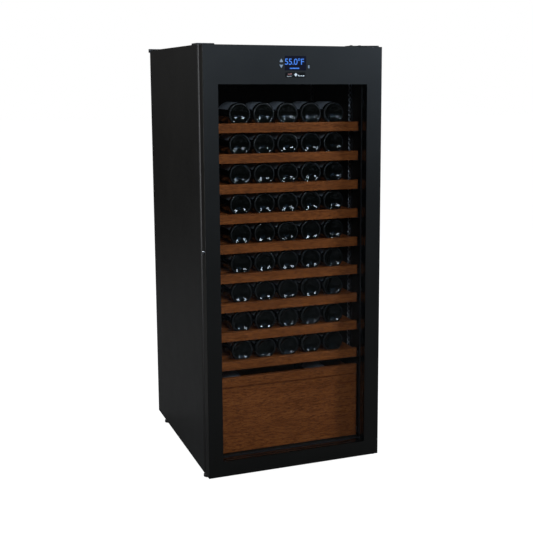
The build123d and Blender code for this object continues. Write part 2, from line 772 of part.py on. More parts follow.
# Condenser: a finned block, with the plate and ring that hold its fan.
condenser_left = -half_width + 38.0
condenser_right = condenser_left + 140.0
condenser_front = bay_front + 20.0
condenser_back = cabinet_back - 60.0
condenser_bottom = bay_floor
condenser_top = bay_floor + 170.0
condenser_fins = 12
fan_plate = 3.0
condenser_mid_y = (condenser_front + condenser_back) / 2
condenser_mid_z = (condenser_bottom + condenser_top) / 2
condenser_fan_plane = Plane(origin=(condenser_right + fan_plate, condenser_mid_y, condenser_mid_z),
                            x_dir=(0, 1, 0), z_dir=(1, 0, 0))
with BuildPart() as condenser_coil:
    fin_pitch = (condenser_back - condenser_front - 2.0) / (condenser_fins - 1)
    with BuildSketch(Plane.XY.offset(condenser_bottom)):
        with Locations(((condenser_left + condenser_right) / 2, condenser_mid_y)):
            with GridLocations(0, fin_pitch, 1, condenser_fins):
                Rectangle(condenser_right - condenser_left, 1.0)
    extrude(amount=condenser_top - condenser_bottom)
    with BuildSketch(front_plane(condenser_front)):
        with Locations(((condenser_left + condenser_right) / 2, condenser_mid_z)):
            with GridLocations(38.0, 34.0, 4, 4):
                Circle(4.0)
    extrude(amount=-(condenser_back - condenser_front))
    with BuildSketch(Plane.YZ.offset(condenser_right)):
        span(condenser_front, condenser_back, condenser_bottom, condenser_top)
        with Locations((condenser_mid_y, condenser_mid_z)):
            Circle(fan_radius + tip_clearance, mode=Mode.SUBTRACT)
    extrude(amount=fan_plate)
    add(fan_mount(condenser_fan_plane))
save(condenser_coil, "condenser_coil")
fan_rotor(condenser_fan_plane, "condenser_fan")


def pipe(*points):
    """A bent tube along straight runs joined by arcs."""
    with BuildPart() as run:
        with BuildLine() as route:
            FilletPolyline(*points, radius=pipe_bend)
        with BuildSketch(Plane(origin=route.line @ 0, z_dir=route.line % 0)):
            Circle(pipe_radius)
        sweep(path=route.line)
    return run.part


# Pipes: discharge to the condenser, liquid line with its drier, and suction line.
discharge_z = bay_floor + 90.0
liquid_out_z = bay_floor + 34.0
condenser_port_x = (condenser_left + condenser_right) / 2 - 19.0
suction_port_z = bay_floor + 120.0
discharge_y = pipe_y - 20.0
drier_z = bay_floor + 140.0
drier_radius = 8.0
drier_length = 90.0
with BuildPart() as refrigerant_pipes:
    add(pipe(
         (compressor_x, compressor_y + compressor_radius, discharge_z),
         (compressor_x, discharge_y, discharge_z),
         (condenser_port_x, discharge_y, discharge_z),
         (condenser_port_x, condenser_back, discharge_z)))
    add(pipe(
         (condenser_port_x, condenser_back, liquid_out_z),
         (condenser_port_x, pipe_y, liquid_out_z),
         (liquid_x, pipe_y, liquid_out_z),
         (liquid_x, pipe_y, liquid_z),
         (liquid_x, evaporator_back, liquid_z)))
    add(pipe(
         (suction_x, evaporator_back, suction_z),
         (suction_x, pipe_y, suction_z),
         (suction_x, pipe_y, suction_port_z),
         (suction_x, compressor_y, suction_port_z),
         (compressor_x - compressor_radius, compressor_y, suction_port_z)))
    with Locations((liquid_x, pipe_y, drier_z)):
        Cylinder(drier_radius, drier_length)
save(refrigerant_pipes, "refrigerant_pipes")

# Rear grille and the power box whose socket shows through it.
box_left = 210.0
box_right = 270.0
box_bottom = bay_floor + 20.0
box_top = bay_floor + 80.0
box_depth = 34.0
box_gap = 0.3
socket_x = (box_left + box_right) / 2
socket_z = box_bottom + 22.0
socket_size = (27.0, 20.0)
socket_chamfer = 4.0
socket_depth = 17.0
blade_size = (2.0, 4.0)
blade_setback = 2.0      # tips of the socket's blades behind its face
grille_slot = (100.0, 6.0)
slot_row_pitch = 14.0
slot_column_pitch = 130.0
with BuildPart() as rear_grille:
    with BuildSketch(front_plane(cabinet_back)):
        span(-inside_half, inside_half, bay_floor - base_thickness + 0.5, bay_top - 0.5)
        with Locations((0, bay_floor + 160.0)):
            with GridLocations(slot_column_pitch, slot_row_pitch, 4, 12):
                SlotOverall(*grille_slot, mode=Mode.SUBTRACT)
        with Locations((-slot_column_pitch, bay_floor + 45.0)):
            with GridLocations(slot_column_pitch, slot_row_pitch, 2, 4):
                SlotOverall(*grille_slot, mode=Mode.SUBTRACT)
        span(box_left - box_gap, box_right + box_gap, box_bottom - box_gap, box_top + box_gap,
             mode=Mode.SUBTRACT)
    extrude(amount=sheet)
save(rear_grille, "rear_grille")

with BuildPart() as power_box:
    with BuildSketch(front_plane(cabinet_back)):
        span(box_left, box_right, box_bottom, box_top)
    extrude(amount=box_depth)
    with BuildSketch(front_plane(cabinet_back)) as socket_outline:
        with Locations((socket_x, socket_z)):
            Rectangle(*socket_size)
        chamfer(socket_outline.vertices().group_by(Axis.Z)[-1], socket_chamfer)
    extrude(amount=socket_depth, mode=Mode.SUBTRACT)
    with BuildSketch(front_plane(cabinet_back - blade_setback)):
        with Locations((socket_x - 7.0, socket_z - 4.0), (socket_x + 7.0, socket_z - 4.0),
                       (socket_x, socket_z - 1.0)):
            Rectangle(*blade_size)
    extrude(amount=socket_depth - 1.0)
save(power_box, "power_box")

# ---- Shelves, drawer and bottles -----------------------------------------------------------

# Bottle: turned about its own axis, with a heel, a punt, a shoulder, a neck and a lip.
neck = 14.5
mouth = 9.0
lip = 1.0
lip_length = 12.0
heel = 4.0
heel_height = 5.0
rim_width = 7.0
punt_depth = 12.0
shoulder_start = 190.0
shoulder_middle = 212.0
shoulder_end = 236.0
shoulder_turn = 8.65     # radius lost by the middle of the shoulder
with BuildPart() as bottle:
    with BuildSketch():
        with BuildLine():
            base_edge = Line((bottle_radius - heel, 0), (bottle_radius - heel - rim_width, 0))
            punt = Spline(base_edge @ 1, (0, punt_depth), tangents=((-0.7, 1), (-1, 0)))
            heel_edge = Line(base_edge @ 0, (bottle_radius, heel_height))
            body = Line(heel_edge @ 1, (bottle_radius, shoulder_start))
            shoulder = Spline(body @ 1, (bottle_radius - shoulder_turn, shoulder_middle),
                              (neck, shoulder_end), tangents=((0, 1), (0, 1)))
            inner_radius = bottle_radius - bottle_wall
            Polyline(shoulder @ 1, (neck, bottle_length - lip_length),
                     (neck + lip, bottle_length - lip_length), (neck + lip, bottle_length),
                     (mouth, bottle_length), (mouth, shoulder_end - 10.0),
                     (inner_radius, shoulder_start - 6.0), (inner_radius, punt_depth),
                     (0, punt_depth + bottle_wall), punt @ 1)
        make_face()
    revolve(axis=Axis.Y)

# Wooden rack: front strip, two side rails and cross slats with a cradle for every bottle.
cradle_radius = bottle_radius + cradle_gap
slat_pitch = (shelf_back - strip_back - slat_width) / (slat_count - 1)
rack_middle_y = (strip_back + shelf_back) / 2
for number, bottom in enumerate(shelf_bottoms, start=1):
    top = bottom + strip_height
    bottle_z = top - bottle_drop + bottle_radius
    with BuildPart() as shelf:
        with BuildSketch(Plane.XY.offset(bottom)):
            for side in (-1, 1):
                with Locations((side * (shelf_half - side_rail / 2), rack_middle_y)):
                    Rectangle(side_rail, shelf_back - strip_back)
        extrude(amount=strip_height - side_rail_drop)
        with BuildSketch(Plane.XY.offset(top - slat_drop - slat_thickness)):
            with Locations((0, rack_middle_y)):
                with GridLocations(0, slat_pitch, 1, slat_count):
                    Rectangle(2 * (shelf_half - side_rail), slat_width)
        extrude(amount=slat_thickness)
        with BuildSketch(front_plane(strip_back)):
            with Locations(*[(column, bottle_z) for column in row_columns]):
                Circle(cradle_radius)
        extrude(amount=strip_back - shelf_back, mode=Mode.SUBTRACT)
        with BuildSketch(Plane.XY.offset(bottom)):
            span(-shelf_half, shelf_half, strip_front, strip_back)
        extrude(amount=strip_height)
        fillet(shelf.faces().sort_by(Axis.Y)[0].edges(), edge_round)
    save(shelf, f"shelf_{number}")

    with BuildPart() as bottle_row:
        with Locations(*[(column, strip_back + bottle_setback, bottle_z) for column in row_columns]):
            add(bottle.part)
    save(bottle_row, f"bottles_{number}")

# Drawer front: a tall wooden panel with one groove near its top.
front_bottom = cabinet_bottom + drawer_bottom
front_top = front_bottom + drawer_front_height
with BuildPart() as drawer_front:
    with BuildSketch(front_plane(strip_back)):
        span(-shelf_half, shelf_half, front_bottom, front_top)
    extrude(amount=strip_thickness)
    fillet(drawer_front.faces().sort_by(Axis.Y)[0].edges(), edge_round)
    with BuildSketch(front_plane(strip_front)):
        span(-shelf_half, shelf_half, front_top - groove_drop - groove, front_top - groove_drop)
    extrude(amount=-groove_depth, mode=Mode.SUBTRACT)
save(drawer_front, "drawer_front")

# Bin: the open wooden box behind the drawer front.
bin_half = shelf_half - bin_inset
bin_back = step_y - bin_rear_gap
bin_top = front_top - bin_drop
with BuildPart() as drawer_bin:
    with BuildSketch(Plane.XY.offset(bin_bottom)):
        span(-bin_half, bin_half, strip_back, bin_back)
    extrude(amount=bin_top - bin_bottom)
    with BuildSketch(Plane.XY.offset(bin_bottom + bin_floor)):
        span(-bin_half + bin_wall, bin_half - bin_wall, strip_back + bin_wall, bin_back - bin_wall)
    extrude(amount=bin_top - bin_bottom, mode=Mode.SUBTRACT)
save(drawer_bin, "drawer_bin")

# Bottles in the bin: two full layers and two bottles on top of them.
layer_height = 2 * bottle_radius + cradle_gap
bin_layers = (bin_columns, bin_columns, (bin_columns[0], bin_columns[-1]))
bin_spots = [
    (column, strip_back + bin_bottle_setback,
     bin_bottom + bin_floor + cradle_gap + bottle_radius + layer * layer_height)
    for layer, columns in enumerate(bin_layers)
    for column in columns
]
with BuildPart() as drawer_bottles:
    with Locations(*bin_spots):
        add(bottle.part)
save(drawer_bottles, "drawer_bottles")
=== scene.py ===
"""Wine cooler: the looks of every piece, in the CAD model's own frame, in metres."""
import math

import bpy
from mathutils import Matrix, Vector


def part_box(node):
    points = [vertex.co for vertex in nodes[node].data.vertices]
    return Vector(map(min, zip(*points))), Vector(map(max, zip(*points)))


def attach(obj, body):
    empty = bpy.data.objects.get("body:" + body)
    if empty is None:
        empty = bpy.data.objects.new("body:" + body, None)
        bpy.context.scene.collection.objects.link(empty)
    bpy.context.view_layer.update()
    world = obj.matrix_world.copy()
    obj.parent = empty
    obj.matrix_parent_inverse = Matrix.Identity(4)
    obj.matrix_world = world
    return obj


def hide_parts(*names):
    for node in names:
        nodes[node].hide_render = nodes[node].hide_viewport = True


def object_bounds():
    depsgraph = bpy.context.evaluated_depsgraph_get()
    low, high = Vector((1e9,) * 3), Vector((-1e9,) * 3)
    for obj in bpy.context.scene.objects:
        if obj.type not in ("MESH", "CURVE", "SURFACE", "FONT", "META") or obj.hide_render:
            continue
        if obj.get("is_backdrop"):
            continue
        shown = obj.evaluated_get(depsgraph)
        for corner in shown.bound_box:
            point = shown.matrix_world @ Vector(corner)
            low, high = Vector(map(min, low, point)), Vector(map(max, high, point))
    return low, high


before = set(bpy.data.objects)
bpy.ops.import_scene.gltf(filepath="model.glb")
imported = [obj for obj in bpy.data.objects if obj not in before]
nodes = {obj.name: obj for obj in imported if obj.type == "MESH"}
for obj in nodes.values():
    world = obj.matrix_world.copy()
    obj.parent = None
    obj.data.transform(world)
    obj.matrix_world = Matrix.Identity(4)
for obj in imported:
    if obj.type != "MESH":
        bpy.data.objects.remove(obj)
cad_low, cad_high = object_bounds()

# ---- Cabinet shell --------------------------------------------------------------------------
# Cold-rolled steel sheet, folded and powder coated in satin black. The coat is a little
# uneven, like very fine orange peel, and slightly duller in broad patches.


class Wire:
    """A socket of a node tree, so that shader maths reads as arithmetic."""

    def __init__(self, tree, socket):
        self.tree = tree
        self.socket = socket

    def add(self, kind, inputs, out=0, stops=(), **settings):
        """Add a node: settings and ramp stops first, then the values or links of its sockets."""
        node = self.tree.nodes.new(kind)
        for name, value in settings.items():
            setattr(node, name, value)
        for index, (position, shade) in enumerate(stops):
            ramp = node.color_ramp.elements
            stop = ramp[index] if index < 2 else ramp.new(position)
            stop.position = position
            stop.color = (*shade, 1) if isinstance(shade, tuple) else (shade, shade, shade, 1)
        for key, value in inputs.items():
            if isinstance(value, Wire):
                self.tree.links.new(value.socket, node.inputs[key])
            else:
                node.inputs[key].default_value = value
        return Wire(self.tree, node.outputs[out])

    def maths(self, operation, *others):
        return self.add("ShaderNodeMath", dict(enumerate((self, *others))), operation=operation)

    def __add__(self, other):
        return self.maths("ADD", other)

    def __mul__(self, other):
        return self.maths("MULTIPLY", other)

    def __sub__(self, other):
        return self.maths("SUBTRACT", other)

    def __rsub__(self, other):
        return self * -1 + other

    def between(self, low, high):
        """0 below low, 1 above high and a straight rise between them."""
        return self.add("ShaderNodeMapRange", {0: self, 1: low, 2: high})

    __radd__ = __add__
    __rmul__ = __mul__


def surface(name, colour, roughness, **sockets):
    """A material with one Principled shader; returns it, its object coordinates and its shader."""
    material = bpy.data.materials.new(name)
    material.use_nodes = True
    tree = material.node_tree
    shader = tree.nodes["Principled BSDF"]
    values = {"Base Color": (*colour, 1), "Roughness": roughness}
    values.update({key.replace("_", " "): value for key, value in sockets.items()})
    for key, value in values.items():
        shader.inputs[key].default_value = value
    coordinates = tree.nodes.new("ShaderNodeTexCoord")
    return material, Wire(tree, coordinates.outputs["Object"]), shader


def feed(shader, **wires):
    """Link what varies over the surface to the shader's sockets."""
    for key, wire in wires.items():
        wire.tree.links.new(wire.socket, shader.inputs[key.replace("_", " ")])


def noise(place, scale, detail=2.0, roughness=0.5, stretch=(1, 1, 1)):
    """Noise in object space; stretch divides the frequency along an axis."""
    spaced = place.add("ShaderNodeMapping", {0: place, 3: tuple(1 / s for s in stretch)})
    return place.add("ShaderNodeTexNoise",
                     {0: spaced, "Scale": scale, "Detail": detail, "Roughness": roughness})


def mix(factor, first, second):
    """A colour between two colours, which are tuples or wires."""
    ends = [(*end, 1) if isinstance(end, tuple) else end for end in (first, second)]
    return factor.add("ShaderNodeMix", {0: factor, 6: ends[0], 7: ends[1]}, out=2,
                      data_type="RGBA")


def relief(height, strength, depth):
    """A normal bent by a height."""
    return height.add("ShaderNodeBump",
                      {"Height": height, "Strength": strength, "Distance": depth})


def coat(material, *names):
    """Give CAD nodes a finish."""
    for name in names:
        slots = nodes[name].data.materials
        slots.clear()
        slots.append(material)


def powder_coat(name, colour, roughness, gloss):
    """Satin powder coat: orange peel, patches of duller sheen and a trace of tone."""
    material, place, shader = surface(name, colour, roughness, Specular_IOR_Level=gloss)
    peel = noise(place, 700.0, 3.0)
    patches = noise(place, 9.0, 4.0, 0.6)
    darker = tuple(c * 0.82 for c in colour)
    feed(shader,
         Base_Color=mix(patches, darker, colour),
         Roughness=patches * 0.10 + peel * 0.05 + (roughness - 0.075),
         Normal=relief(peel, 0.06, 0.0002))
    return material


cabinet_paint = powder_coat("cabinet_paint", (0.0080, 0.0074, 0.0064), roughness=0.40, gloss=0.28)
coat(cabinet_paint, "side_panel_left", "side_panel_right", "top_panel", "back_panel",
     "rear_grille")


# ---- Black mouldings ------------------------------------------------------------------------
# Injection-moulded black plastic with a fine spark-eroded texture: the trim along the rear
# top edge, the cover over the spare hinge holes, the base, the feet and the power box.

def moulding(name, colour, roughness, grain=900.0, gloss=0.4):
    """Moulded plastic with an even eroded grain."""
    material, place, shader = surface(name, colour, roughness, Specular_IOR_Level=gloss)
    erosion = noise(place, grain, 4.0, 0.7)
    clouds = noise(place, 14.0, 2.0)
    feed(shader,
         Base_Color=mix(clouds, tuple(c * 0.8 for c in colour), colour),
         Roughness=clouds * 0.08 + erosion * 0.10 + (roughness - 0.09),
         Normal=relief(erosion, 0.25, 0.0003))
    return material


black_moulding = moulding("black_moulding", (0.010, 0.010, 0.011), roughness=0.50)
feet = ("foot_front_left", "foot_front_right", "foot_rear_left", "foot_rear_right")
coat(black_moulding, "rear_top_trim", "spare_hinge_cover", "base_pan", "power_box",
     "evaporator_fan", "condenser_fan", *feet)


# ---- Hinges ---------------------------------------------------------------------------------
# Steel plates with the door's pins riveted in, painted black and held by two pan-head screws
# each to the top and the base.
hinge_paint = powder_coat("hinge_paint", (0.006, 0.006, 0.006), roughness=0.40, gloss=0.3)
coat(hinge_paint, "hinge_plates", "hinge_screws")

# ---- Liner and duct cover -------------------------------------------------------------------
# Black vacuum-formed sheet, softly textured. The duct cover is a separate moulded panel of
# the same plastic that hides the evaporator.
liner_plastic = moulding("liner_plastic", (0.055, 0.044, 0.033), roughness=0.60, grain=500.0,
                         gloss=0.2)
coat(liner_plastic, "inner_liner", "duct_cover")

# ---- Insulation -----------------------------------------------------------------------------
# Polyurethane foamed in place between the liner and the steel shell, pale yellow and rough
# where it shows. It glues the two together.
foam, foam_place, foam_shader = surface("foam", (0.75, 0.63, 0.36), roughness=0.9)
foam_cells = noise(foam_place, 60.0, detail=5.0)
foam_deep = (0.60, 0.48, 0.25)
foam_pale = (0.8, 0.7, 0.45)
feed(foam_shader, Base_Color=mix(foam_cells, foam_deep, foam_pale))
coat(foam, "insulation_foam")

# ---- Tracks and runners ---------------------------------------------------------------------
# Steel strip with two columns of punched slots, painted black, with a pale blue-grey painted
# highlight round each slot standing in for the glint on its punched edge. The runners are bent
# from zinc-plated sheet and hook into the slots.
track_low, track_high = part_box("shelf_tracks")
slot_middle = (track_low.z + track_high.z) / 2
slots_per_shelf = 6
slot_pitch = (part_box("shelf_1")[0].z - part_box("shelf_2")[0].z) / slots_per_shelf
track_half = 0.019
slot_half_run = 0.00525
slot_end_radius = 0.00575
glint_start = 0.0004
glint_end = 0.0026
track_black = (0.012, 0.012, 0.013)
glint_colour = (0.74, 0.80, 0.88)
track_paint, track_place, track_shader = surface("track_paint", track_black, roughness=0.5)
along = track_place.add("ShaderNodeSeparateXYZ", {0: track_place}, out=1)
rise = track_place.add("ShaderNodeSeparateXYZ", {0: track_place}, out=2)
off_front = (along - (track_low.y + track_half)).maths("ABSOLUTE")
off_back = (along - (track_high.y - track_half)).maths("ABSOLUTE")
beyond_run = (off_front.maths("MINIMUM", off_back) - slot_half_run).maths("MAXIMUM", 0.0)
# Whole pitches are added so that the count stays above zero under the middle slot.
spare_pitches = 100
slots_up = (rise - slot_middle) * (1 / slot_pitch) + (spare_pitches + 0.5)
off_slot = slots_up.maths("FRACT") - 0.5
off_slot = off_slot * slot_pitch
from_edge = (beyond_run * beyond_run + off_slot * off_slot).maths("SQRT") - slot_end_radius
# Painted highlight: a pale ring round each slot in place of light caught on the slot's edge.
painted_glint = 1.0 - from_edge.between(glint_start, glint_end)
scratches = noise(track_place, 500.0, 3.0)
feed(track_shader,
     Base_Color=mix(painted_glint, track_black, glint_colour),
     Roughness=scratches * 0.2 + 0.35)
coat(track_paint, "shelf_tracks")


def plated(name, colour, roughness, along=(1, 1, 1)):
    """Bright plating over drawn or rolled steel, with fine lines along one axis."""
    material, place, shader = surface(name, colour, roughness, Metallic=1.0)
    lines = noise(place, 420.0, 3.0, 0.6, along)
    stain = noise(place, 22.0, 3.0)
    feed(shader,
         Base_Color=mix(stain, tuple(c * 0.8 for c in colour), colour),
         Roughness=lines * 0.16 + stain * 0.10 + (roughness - 0.13),
         Normal=relief(lines, 0.08, 0.0002))
    return material


runner_zinc = plated("runner_zinc", (0.38, 0.39, 0.41), roughness=0.42, along=(1, 20, 1))
coat(runner_zinc, "fixed_runners")

# ---- Light bar ------------------------------------------------------------------------------
# A frosted acrylic diffuser over a row of cool white lamps, clipped under the front of the
# ceiling. It is switched off here.
lamp_cover, lamp_place, lamp_shader = surface("lamp_cover", (0.8, 0.85, 0.9), roughness=0.35)
feed(lamp_shader, Normal=relief(noise(lamp_place, 300.0), 0.2, 0.0003))
coat(lamp_cover, "light_bar")

# ---- Door -----------------------------------------------------------------------------------
# A folded steel wrap over a black moulded core. The wrap is coated like the cabinet, and the
# core's glossy edge shows behind the glass as a deep return round the opening.
door_paint = powder_coat("door_paint", (0.0042, 0.0032, 0.0020), roughness=0.40, gloss=0.29)
coat(door_paint, "door_frame")

gloss_black, gloss_place, gloss_shader = surface("gloss_black", (0.006, 0.006, 0.006), 0.16,
                                                Specular_IOR_Level=0.7)
feed(gloss_shader, Roughness=noise(gloss_place, 30.0, 3.0) * 0.10 + 0.12)
coat(gloss_black, "door_core", "glass_spacer")

gasket_rubber = moulding("gasket_rubber", (0.032, 0.033, 0.036), roughness=0.70, grain=260.0,
                         gloss=0.3)
coat(gasket_rubber, "door_gasket")

# Two panes of grey float glass with a low-emissivity coat, and air sealed between them.
tint, tint_place, tint_shader = surface("tinted_glass", (0.0015, 0.0015, 0.0015), 0.02,
                                        Specular_IOR_Level=0.35)
feed(tint_shader, Alpha=noise(tint_place, 1.5, detail=1.0) * 0.02 + 0.12)
coat(tint, "glass_panes")

# ---- Lock -----------------------------------------------------------------------------------
# A small cylinder lock, turned from brass and chromed, let into the free edge of the door and
# held by a nut behind. Its plug turns with the key.
chrome = plated("chrome", (0.62, 0.62, 0.64), roughness=0.16)
coat(chrome, "lock_body", "lock_plug")

# ---- Readout and keys -----------------------------------------------------------------------
# A flush glass window with blue lit digits behind it, three small satin metal keys beside it,
# and under it a dark moulded plate with a plain printed mark, glued on.
window_glass, window_place, window_shader = surface("window_glass", (0.006, 0.005, 0.013), 0.25,
                                                    Specular_IOR_Level=0.15)
window_low, window_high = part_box("display_window")
feed(window_shader, Roughness=noise(window_place, 60.0) * 0.05 + 0.22)
coat(window_glass, "display_window")

lit_blue, lit_place, lit_shader = surface("lit_blue", (0.02, 0.08, 0.3), 0.4,
                                          Emission_Strength=1.0)
glow = noise(lit_place, 260.0)
deep_blue = (0.026, 0.14, 0.56)
bright_blue = (0.044, 0.20, 0.74)
feed(lit_shader, Emission_Color=mix(glow, deep_blue, bright_blue))
letter_spacing = 0.94


def writing(name, words, size, middle_x, middle_z, face_y, thickness, body, material):
    """Raised characters on the door's face, made a mesh and put in place there."""
    bpy.ops.object.select_all(action="DESELECT")
    bpy.ops.object.text_add(location=(0, 0, 0))
    text = bpy.context.object
    text.data.body = words
    text.data.size = size
    text.data.extrude = thickness / 2
    text.data.space_character = letter_spacing
    text.data.align_x = "CENTER"
    text.data.align_y = "CENTER"
    bpy.ops.object.convert(target="MESH")
    piece = bpy.context.object
    piece.name = name
    piece.rotation_euler = (math.pi / 2, 0, 0)
    piece.location = (middle_x, face_y, middle_z)
    bpy.ops.object.transform_apply(location=True, rotation=True, scale=True)
    piece.data.materials.append(material)
    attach(piece, body)


window_middle = (window_low + window_high) / 2
window_height = window_high.z - window_low.z
digit_height = window_height * 0.60
digits_left = 0.0036
digits_up = window_height * 0.08
digit_thickness = 0.0002
writing("readout_digits", "55.0°F", digit_height, window_middle.x - digits_left,
        window_middle.z + digits_up, window_low.y - digit_thickness / 2, digit_thickness,
        "door", lit_blue)


def tablet(name, low, high, rounding, body, material):
    """A flat block with rounded corners, from a cube stretched to its limits."""
    bpy.ops.object.select_all(action="DESELECT")
    bpy.ops.mesh.primitive_cube_add(size=1, location=(Vector(low) + Vector(high)) / 2)
    piece = bpy.context.object
    piece.name = name
    piece.scale = Vector(high) - Vector(low)
    bpy.ops.object.transform_apply(location=True, rotation=True, scale=True)
    modifier = piece.modifiers.new("edges", "BEVEL")
    modifier.width = rounding
    modifier.segments = 3
    bpy.ops.object.modifier_apply(modifier=modifier.name)
    bpy.ops.object.shade_smooth_by_angle(angle=math.radians(40))
    piece.data.materials.append(material)
    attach(piece, body)


# The second line of the readout is a row of small lit bars.
bar_count = 7
bar_width = 0.0038
bar_gap = 0.0008
bar_half = 0.0019
bar_rounding = 0.0002
bars_left = 0.0035
bar_z = window_middle.z - window_height * 0.35
for index in range(bar_count):
    bar_x = window_middle.x - bars_left + (index - (bar_count - 1) / 2) * (bar_width + bar_gap)
    tablet(f"readout_bar_{index + 1}",
           (bar_x - bar_width / 2, window_low.y - 0.0003, bar_z - bar_half),
           (bar_x + bar_width / 2, window_low.y + 0.0002, bar_z + bar_half),
           bar_rounding, "door", lit_blue)

key_silver = plated("key_silver", (0.30, 0.34, 0.40), roughness=0.42)
coat(key_silver, "key_up", "key_down", "key_light")

badge_black = moulding("badge_black", (0.0012, 0.0012, 0.0012), roughness=0.45, grain=1200.0,
                       gloss=0.12)
coat(badge_black, "badge_plate")
badge_low, badge_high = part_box("badge_plate")
badge_middle = (badge_low + badge_high) / 2
mark_back = badge_low.y + 0.0002
mark_front = badge_low.y - 0.0003
mark_white, mark_place, mark_shader = surface("mark_white", (0.80, 0.81, 0.82), 0.45)
feed(mark_shader, Roughness=noise(mark_place, 900.0) * 0.2 + 0.35)
mark_rust, rust_place, rust_shader = surface("mark_rust", (0.10, 0.035, 0.012), 0.5)
mark_plum = (0.05, 0.03, 0.10)
mark_orange = (0.32, 0.09, 0.02)
feed(rust_shader, Base_Color=mix(noise(rust_place, 260.0), mark_plum, mark_orange))

diamond_radius = 0.0056
diamond_right = 0.0012
diamond_up = 0.0004
diamond_edge = 0.0001
bpy.ops.object.select_all(action="DESELECT")
bpy.ops.mesh.primitive_cylinder_add(
    vertices=4, radius=diamond_radius, depth=mark_back - mark_front,
    rotation=(math.pi / 2, 0, 0),
    location=(badge_middle.x + diamond_right, (mark_back + mark_front) / 2,
              badge_middle.z + diamond_up))
diamond = bpy.context.object
diamond.name = "badge_diamond"
bpy.ops.object.transform_apply(location=True, rotation=True, scale=True)
bpy.ops.object.mode_set(mode="EDIT")
bpy.ops.mesh.select_all(action="SELECT")
bpy.ops.mesh.bevel(offset=diamond_edge, segments=2, affect="EDGES")
bpy.ops.object.mode_set(mode="OBJECT")
diamond.data.materials.append(mark_white)
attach(diamond, "door")

# Each mark's start, end, bottom and top are measured from the middle of the plate.
tick_start = 0.0090
tick_pitch = 0.0042
tick_width = 0.0030
tick_bottom = -0.0046
tick_heights = (0.0048, 0.0026, 0.0036, 0.0024, 0.0030)
mark_rounding = 0.0002
badge_marks = [("badge_rule", -0.0290, -0.0120, -0.0048, -0.0038, mark_white),
               ("badge_dab_left", -0.0250, -0.0190, -0.0008, 0.0040, mark_rust),
               ("badge_dab_right", -0.0175, -0.0120, 0.0000, 0.0052, mark_rust)]
badge_marks += [(f"badge_tick_{index + 1}", tick_start + tick_pitch * index,
                 tick_start + tick_pitch * index + tick_width,
                 tick_bottom, tick_bottom + height, mark_white)
                for index, height in enumerate(tick_heights)]
for name, start, end, bottom, top, material in badge_marks:
    tablet(name,
           (badge_middle.x + start, mark_front, badge_middle.z + bottom),
           (badge_middle.x + end, mark_back, badge_middle.z + top),
           mark_rounding, "door", material)

# ---- Wooden shelves and drawer --------------------------------------------------------------
# Steamed beech, oiled: pinkish brown, with fine dark flecks along the grain and slow bands of
# tone. Strips and slats run across the cabinet, side rails run front to back.

def beech(name, light, dark, stretch):
    """Beech with grain along the stretched axis."""
    material, place, shader = surface(name, light, 0.46, Specular_IOR_Level=0.2)
    bands = noise(place, 20.0, 3.0, 0.6, tuple(s / 2 for s in stretch))
    streaks = noise(place, 170.0, 6.0, 0.75, stretch)
    flecks = noise(place, 420.0, 3.0, 0.7, tuple(1 + (s - 1) * 0.6 for s in stretch))
    grain = bands * 0.4 + streaks * 0.6
    tone = grain.add("ShaderNodeValToRGB", {0: grain}, stops=((0.36, dark), (0.60, light)))
    pores = flecks.add("ShaderNodeValToRGB", {0: flecks}, stops=((0.40, 1.0), (0.51, 0.0)))
    feed(shader,
         Base_Color=mix(pores * 0.75, tone, tuple(c * 0.45 for c in dark)),
         Roughness=bands * 0.12 + pores * 0.10 + 0.38,
         Normal=relief(pores * -1.0 + bands * 0.3, 0.15, 0.0004))
    return material


beech_light = (0.58, 0.170, 0.038)
beech_dark = (0.32, 0.085, 0.017)
shelf_prefix = "shelf_"
beech_across = beech("beech_across", beech_light, beech_dark, stretch=(9, 2, 1))
shelf_names = [name for name in nodes if name.removeprefix(shelf_prefix).isdigit()]
coat(beech_across, "drawer_front", *shelf_names)
beech_deep = beech("beech_deep", beech_light, beech_dark, stretch=(1, 12, 1))
coat(beech_deep, "drawer_bin")

# ---- Bottles --------------------------------------------------------------------------------
# Dark green claret bottles, blown in a mould, with a shallow punt and a stippled ring where
# they stand. They lie on their sides with the bases forward. A paper label faces up, and a foil
# capsule is shrunk over the neck.
bottle_glass, bottle_place, bottle_shader = surface("bottle_glass", (0.003, 0.004, 0.003), 0.06,
                                                    Specular_IOR_Level=0.45)
feed(bottle_shader, Roughness=noise(bottle_place, 50.0, 3.0) * 0.05 + 0.03)
paper, paper_place, paper_shader = surface("label_paper", (0.60, 0.63, 0.68), 0.7)
fibres = noise(paper_place, 500.0, 4.0, 0.7)
paper_shade = (0.52, 0.56, 0.62)
paper_light = (0.66, 0.70, 0.76)
feed(paper_shader, Base_Color=mix(fibres, paper_shade, paper_light),
     Normal=relief(fibres, 0.2, 0.0002))
foil, foil_place, foil_shader = surface("capsule_foil", (0.05, 0.008, 0.010), 0.35, Metallic=0.6)
creases = noise(foil_place, 90.0, 3.0, 0.6, (1, 6, 1))
feed(foil_shader, Roughness=creases * 0.2 + 0.25, Normal=relief(creases, 0.3, 0.0004))

stipple, stipple_place, stipple_shader = surface("stippled_glass", (0.010, 0.011, 0.011), 0.4)
dimples = noise(stipple_place, 900.0, 2.0)
feed(stipple_shader, Roughness=dimples * 0.2 + 0.3, Normal=relief(dimples, 0.3, 0.0003))

first_low, first_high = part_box("bottles_1")
bottle_radius = (first_high.z - first_low.z) / 2
bottle_length = first_high.y - first_low.y
columns = 5
column_pitch = (first_high.x - first_low.x - 2 * bottle_radius) / (columns - 1)

